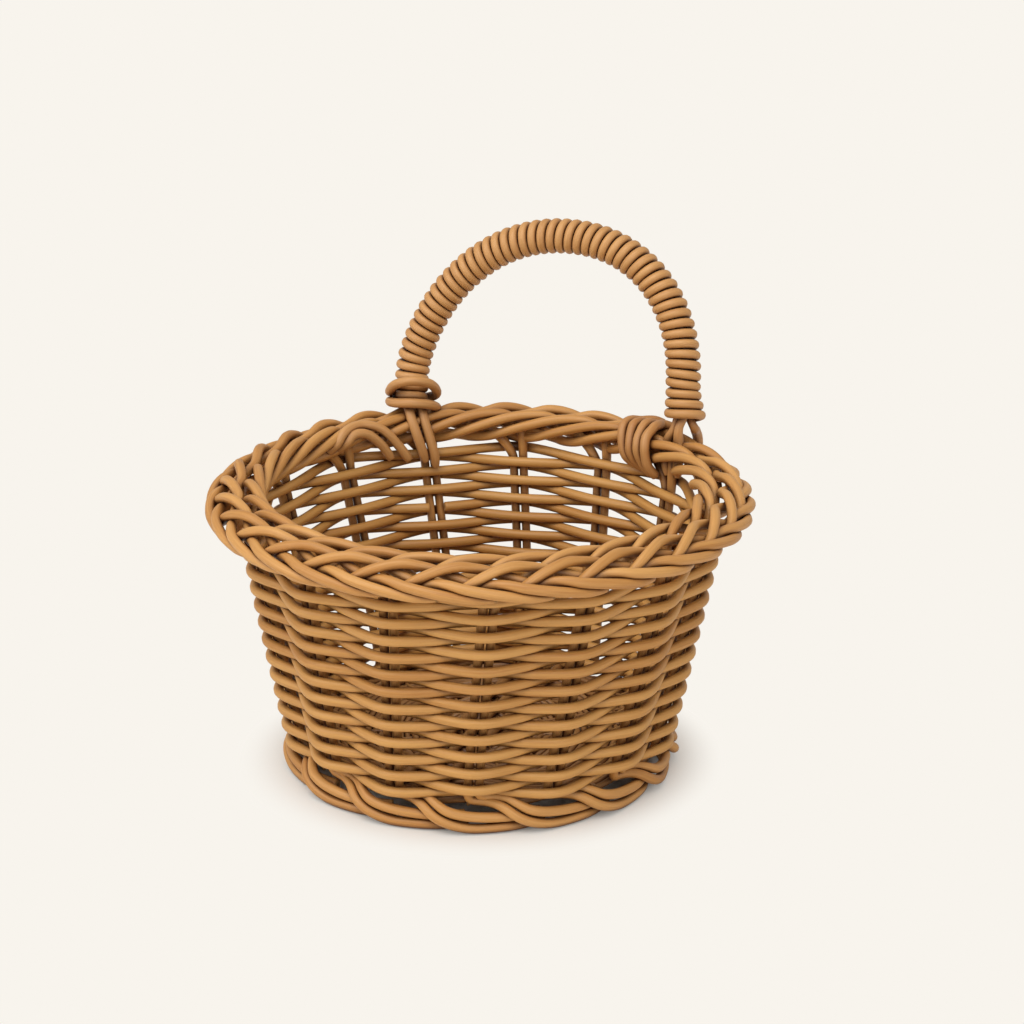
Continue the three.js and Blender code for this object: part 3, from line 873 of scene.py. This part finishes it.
# Where the rods leave the loose last turn of the binding at the right foot: forwards and inwards.
RIGHT_SPREAD = [(0.2, 5.2), (2.6, 2.3), (-2.2, -2.8)]
SPREAD_SHARES = (1, 0.4)  # of the spread, that the last two places of a rod in the arch have
LEFT_LOOSENESS = 1.2  # of the bundle, at its last place at the left foot
ROD_STEPS = 48
ROD_FOOT = CANE + 0.2  # thickness of a rod outside the binding
THICKER = (-4, 2)  # heights from the legs' ends, where a rod has its full thickness and its thin one
WHITTLED_LENGTH = 3.5
WHITTLED_SHARE = 0.65


def blend(first, second, share):
    return first + (second - first) * share


def foot_point(place):
    degrees, out, up = place
    return rim_point((math.pi / 2 + math.radians(degrees), out * STRAND, up * STRAND))


def rod_route(number, forwards, inwards):
    """A rod, from its right foot through the binding to its left foot."""
    through = []
    for i in range(ROD_STEPS + 1):
        loose = LEFT_LOOSENESS if i == ROD_STEPS else 1
        through.append(beside_arch(i / ROD_STEPS, forwards, inwards * loose))
    for i, share in enumerate(SPREAD_SHARES):
        ahead = blend(forwards, RIGHT_SPREAD[number][0], share)
        inside = blend(inwards, RIGHT_SPREAD[number][1], share)
        through[i] = beside_arch(i / ROD_STEPS, ahead, inside)
    right = [foot_point(place) for place in RIGHT_FEET[number]]
    left = [foot_point(place) for place in LEFT_FEET[number]]
    return smooth(right[::-1] + through + left)


def rod_thickness(line):
    """A rod is squeezed thinner inside the binding than at its feet, and its ends are whittled."""
    heights = [RIM_HEIGHT + LEG_RISE + above for above in THICKER]
    thick = np.interp(line[:, 2], heights, [ROD_FOOT, ROD])
    thick = tapered(line, thick, WHITTLED_LENGTH, WHITTLED_SHARE)
    return tapered(line[::-1], thick[::-1], WHITTLED_LENGTH, WHITTLED_SHARE)[::-1]


ASIDE = ROD_BUNDLE * math.sqrt(3) / 2
RODS = [(ROD_BUNDLE / 2, ASIDE), (ROD_BUNDLE / 2, -ASIDE), (-ROD_BUNDLE, 0)]
for i, (forwards, inwards) in enumerate(RODS):
    node = "handle_rod_%d" % (i + 1)
    line = rod_route(i, forwards, inwards)
    strand_piece("cane_" + node, [line], [rod_thickness(line)], HANDLE_CANE, [node])


def binding_route():
    """The binding, from the back of its loose last turn at the right foot to the left foot."""
    points = []
    for i in range(BINDING_TURNS * TURN_STEPS + 1):
        turn = 2 * math.pi * i / TURN_STEPS + math.pi
        share = BINDING_FROM + (BINDING_TO - BINDING_FROM) * i / (BINDING_TURNS * TURN_STEPS)
        loose = max(0.0, 1 - i / (LOOSE_TURNS * TURN_STEPS))
        radius = BINDING_RADIUS + (LAST_TURN_RADIUS - BINDING_RADIUS) * loose
        points.append(beside_arch(share, radius * math.cos(turn), radius * math.sin(turn)))
    return np.array(points)


strand_piece("cane_handle_binding", [binding_route()], BINDING, HANDLE_CANE, ["handle_wrap"])


# The two loose rings of one strand round the left leg: degrees round the leg, where 270 faces the
# photograph's camera, and millimetres above the leg's end. The upper ring tips up at the front.
LEFT_RINGS = [
    (125, 1.5),
    (150, 1.9),
    (180, 3.3),
    (225, 8.6),
    (270, 10.9),
    (315, 8.9),
    (360, 3.3),
    (390, -0.2),
    (450, -3.2),
    (510, -2.4),
    (540, -1.2),
    (585, 0.3),
    (630, 1.1),
    (675, -0.4),
    (715, -3.6),
    (740, -5.8),
]
RING_RADIUS = 10
RING_ASIDE = 1  # of the rings' middle, from the leg's


def ring_route():
    """The ring tie, round the left leg from its first place to its last."""
    end = arch_middle(1)
    points = []
    for turn, up in LEFT_RINGS:
        angle = math.radians(turn) + CAMERA_AZIMUTH
        across = end[0] + RING_ASIDE + RING_RADIUS * math.cos(angle)
        points.append(np.array([across, end[1] + RING_RADIUS * math.sin(angle), end[2] + up]))
    return smooth(points)


strand_piece("cane_left_ring_tie", [ring_route()], CANE, HANDLE_CANE, ["left_ring_tie"])


# The ties over the rim. A cross tie starts tucked under a stroke of the plait and ends hanging
# inside; its places are written as the rods' are. A right tie goes all round the plait, and the next
# one to the right lies against it: degrees from the back at turns round the plait, where 90 is its
# top and 180 its inner side.
CROSS_TIES = [
    [
        (67.2, -2.2, -0.5),
        (66.0, -2.95, 0.3),
        (63.8, -2.95, 1.2),
        (60.5, -2.65, 1.55),
        (57.0, -2.5, 1.6),
        (54.0, -2.8, 1.4),
        (51.5, -3.05, 1.0),
        (49.0, -3.3, 0.2),
        (46.6, -3.4, -0.9),
        (44.4, -3.4, -2.0),
        (42.8, -3.4, -2.9),
    ],
    [
        (64.4, -2.4, -0.5),
        (63.0, -3.2, 0.25),
        (61.0, -3.25, 0.9),
        (58.5, -3.3, 1.0),
        (56.0, -3.35, 0.7),
        (53.8, -3.4, 0.1),
        (51.6, -3.4, -0.7),
        (49.8, -3.35, -1.6),
        (48.3, -3.3, -2.5),
    ],
]
TIE_TIP_LENGTH = 2.5
TIE_TIP_SHARE = 0.8
TIE_SLANT = 0.5
RIGHT_TIES = 4
RIGHT_TIE_TURN = (50, 85, 110, 135, 150, 165, 180, 200, 222)
RIGHT_TIE_WAY = (-25.5, -23, -21.6, -21.4, -22.1, -22.9, -23.6, -25, -27.5)
RIGHT_TIE_NEXT = (-1.33, -1.67, -2.67, -3.17, -3.17, -3.17, -3, -2.67, -2)
WAY_STEP = 0.25
BRIDGE = 2  # places to each side over which a stiff strand bridges the hollows between strokes

rim = RimSurface(stake_lines)


def laid_on_rim(way):
    """Places on the plait along a way round it."""
    at = np.arange(0, len(way) - 1 + LEAST, WAY_STEP)
    degrees = np.interp(at, range(len(way)), [place[0] for place in way])
    turns = np.radians(np.interp(at, range(len(way)), [place[1] for place in way]))
    angles = math.pi / 2 + np.radians(degrees)
    reach = [rim.reach(angle, turn, CANE) for angle, turn in zip(angles, turns)]
    top = [max(reach[max(i - BRIDGE, 0) : i + BRIDGE + 1]) for i in range(len(reach))]
    away = [np.mean(top[max(i - BRIDGE, 0) : i + BRIDGE + 1]) for i in range(len(top))]
    return [
        rim_point((angles[i], away[i] * math.cos(turns[i]), away[i] * math.sin(turns[i])))
        for i in range(0, len(at), 2)
    ]


for i, places in enumerate(CROSS_TIES):
    node = "left_cross_tie_%d" % (i + 1)
    line = smooth([foot_point(place) for place in places])
    thick = tapered(line, np.full(len(line), CANE), TIE_TIP_LENGTH, TIE_TIP_SHARE)
    strand_piece("cane_" + node, [line], [thick], HANDLE_CANE, [node], end_slant=TIE_SLANT)

for i in range(RIGHT_TIES):
    node = "right_tie_%d" % (i + 1)
    way = [
        (degrees + ahead * (RIGHT_TIES - 1 - i), turn)
        for degrees, ahead, turn in zip(RIGHT_TIE_WAY, RIGHT_TIE_NEXT, RIGHT_TIE_TURN)
    ]
    strand_piece("cane_" + node, [smooth(laid_on_rim(way))], CANE, HANDLE_CANE, [node])

# The base

BASE_RADIUS = FOOT_CIRCLE - 2.2
BASE_LEVEL = 10.1
BASE_ROUNDS = 9  # rounds of weaving, each three strands wide
ROUND_STRANDS = 3
SPOKES = 25  # an odd number, so that each round changes sides against the round before it
SPOKE_START = 9
SPOKE_STEP = 12
SPLINT = 1.6  # thickness of a spoke
BASE_STRAND = 2.6
BASE_SIDES = 10
FLAT_MIDDLE = 5  # radius inside which the strands lie flat
FLAT_FADE = 12  # from there to their full wave
STICKS = 3  # in each direction
STICK = 3.6
STICK_PITCH = 8.0
STICK_MARGIN = 6
STICK_LEVELS = {"lower": 6.3, "upper": 13.9}
STICK_STEPS = 12


def base_weave_routes():
    """Three strands side by side that spiral outwards, over one spoke and under the next."""
    band = BASE_RADIUS / BASE_ROUNDS
    routes = []
    for place in range(ROUND_STRANDS):
        points = []
        crossing = 0
        while True:
            radius = band * (crossing / SPOKES + (place + 0.5) / ROUND_STRANDS)
            if radius > BASE_RADIUS - BASE_STRAND / 2:
                break
            # Near the middle, where the spokes run together, the strands lie flatter.
            wave = min(max((radius - FLAT_MIDDLE) / FLAT_FADE, 0), 1) * (1 if crossing % 2 else -1)
            points.append(polar(crossing * 2 * math.pi / SPOKES, radius, BASE_LEVEL + wave))
            crossing += 1
        routes.append(smooth(points))
    return routes


def spoke_routes():
    """The spokes, straight from near the middle to the edge."""
    routes = []
    for spoke in range(SPOKES):
        turn = spoke * 2 * math.pi / SPOKES
        ends = [polar(turn, radius, BASE_LEVEL) for radius in (SPOKE_START, BASE_RADIUS - 1)]
        routes.append(even(ends, SPOKE_STEP))
    return routes


woven = base_weave_routes() + spoke_routes()
thicknesses = [
    np.full(len(line), BASE_STRAND if i < ROUND_STRANDS else SPLINT) for i, line in enumerate(woven)
]
strand_piece("cane_base_weave", woven, thicknesses, SHADED_BASE_CANE, ["base_weave"], sides=BASE_SIDES)


def base_stick_route(index, layer):
    """A stick of the lower layer runs from side to side, and one of the upper from front to back."""
    offset = (index - (STICKS - 1) / 2) * STICK_PITCH
    half = math.sqrt((FOOT_CIRCLE - STICK_MARGIN) ** 2 - offset**2)
    level = STICK_LEVELS[layer]
    points = []
    for i in range(STICK_STEPS + 1):
        along = half * (2 * i / STICK_STEPS - 1)
        points.append(np.array([along, offset, level] if layer == "lower" else [offset, along, level]))
    return smooth(points)


for i in range(STICKS):
    for layer in STICK_LEVELS:
        node = "base_stick_%s_%d" % (layer, i + 1)
        route = base_stick_route(i, layer)
        strand_piece("cane_" + node, [route], STICK, SHADED_BASE_CANE, [node], sides=BASE_SIDES)

# Floor, light and camera

BACKGROUND = "#f8f4ed"
PAPER = "#ebe7e0"
PAPER_FADE = (0.068, 0.1)  # distances from the basket's axis
PAPER_REACH = 6.0
PAPER_DROP = 0.0002  # keeps the foot clear of the paper
ROOM_LIGHT = (1.0, 0.98, 0.95, 1.0)
ROOM_STRENGTH = 0.5
LAMP_AIM = (0, 0, 0.09)


def floor_material():
    """A pale paper sweep: matt and plain. Away from the basket it fades into the background."""
    material, tree = new_material("pale_paper_sweep")
    place = add(tree, "ShaderNodeTexCoord")
    distance = add(tree, "ShaderNodeVectorMath", {"operation": "LENGTH"}, {0: place.outputs["Object"]})
    fade = add(
        tree,
        "ShaderNodeMapRange",
        {"interpolation_type": "SMOOTHSTEP"},
        {"Value": distance.outputs["Value"], 1: PAPER_FADE[0], 2: PAPER_FADE[1]},
    )
    paper = add(tree, "ShaderNodeBsdfDiffuse", {}, {"Color": linear(PAPER)})
    plain = add(tree, "ShaderNodeEmission", {}, {"Color": linear(BACKGROUND), "Strength": 1.0})
    rays = add(tree, "ShaderNodeLightPath")
    seen = add(
        tree,
        "ShaderNodeMath",
        {"operation": "MULTIPLY"},
        {0: fade.outputs["Result"], 1: rays.outputs["Is Camera Ray"]},
    )
    mixed = add(
        tree,
        "ShaderNodeMixShader",
        {},
        {"Fac": seen.outputs[0], 1: paper.outputs["BSDF"], 2: plain.outputs["Emission"]},
    )
    add(tree, "ShaderNodeOutputMaterial", {}, {"Surface": mixed.outputs["Shader"]})
    return material


def add_floor():
    mesh = bpy.data.meshes.new("paper_sweep")
    corners = [(x * PAPER_REACH, y * PAPER_REACH, 0) for x, y in ((-1, -1), (1, -1), (1, 1), (-1, 1))]
    mesh.from_pydata(corners, [], [(0, 1, 2, 3)])
    mesh.materials.append(floor_material())
    floor = bpy.data.objects.new("paper_sweep", mesh)
    bpy.context.scene.collection.objects.link(floor)
    floor.location.z = -PAPER_DROP


def add_world():
    """Soft light from all round. The camera sees the plain background colour instead."""
    world = bpy.data.worlds.new("studio")
    world.use_nodes = True
    tree = world.node_tree
    tree.nodes.clear()
    room = add(tree, "ShaderNodeBackground", {}, {"Color": ROOM_LIGHT, "Strength": ROOM_STRENGTH})
    plain = add(tree, "ShaderNodeBackground", {}, {"Color": linear(BACKGROUND), "Strength": 1.0})
    rays = add(tree, "ShaderNodeLightPath")
    mixed = add(
        tree,
        "ShaderNodeMixShader",
        {},
        {"Fac": rays.outputs["Is Camera Ray"], 1: room.outputs[0], 2: plain.outputs[0]},
    )
    add(tree, "ShaderNodeOutputWorld", {}, {"Surface": mixed.outputs["Shader"]})
    bpy.context.scene.world = world


def add_lamp(name, place, size, power):
    light = bpy.data.lights.new(name, "AREA")
    light.shape = "DISK"
    light.size = size
    light.energy = power
    lamp = bpy.data.objects.new(name, light)
    lamp.location = place
    aim = Vector(LAMP_AIM) - Vector(place)
    lamp.rotation_euler = aim.to_track_quat("-Z", "Y").to_euler()
    bpy.context.scene.collection.objects.link(lamp)


add_floor()
add_world()
add_lamp("softbox_above", (-0.1, -0.7, 1.5), 1.6, 15.5)
add_lamp("softbox_left", (-1.2, -1.1, 0.8), 1.2, 7)
add_lamp("softbox_right", (1.2, -1.2, 0.8), 1.2, 5)

camera_data = bpy.data.cameras.new("photo_view")
camera_data.sensor_width = SENSOR
camera_data.lens = LENS
camera_data.clip_end = CLIP_END
camera = bpy.data.objects.new("photo_view", camera_data)
aside = np.array([math.cos(CAMERA_AZIMUTH), math.sin(CAMERA_AZIMUTH), 0.0])
target = aside * CAMERA_TARGET_ASIDE + np.array([0, 0, CAMERA_TARGET_HEIGHT])
towards = -np.array(
    [
        math.sin(CAMERA_AZIMUTH) * math.cos(CAMERA_ELEVATION),
        -math.cos(CAMERA_AZIMUTH) * math.cos(CAMERA_ELEVATION),
        math.sin(CAMERA_ELEVATION),
    ]
)
camera.location = Vector((target - towards * CAMERA_DISTANCE) * MM)
camera.rotation_euler = Vector(towards).to_track_quat("-Z", "Y").to_euler()
bpy.context.scene.collection.objects.link(camera)
bpy.context.scene.camera = camera
bpy.context.scene.view_settings.view_transform = "Standard"
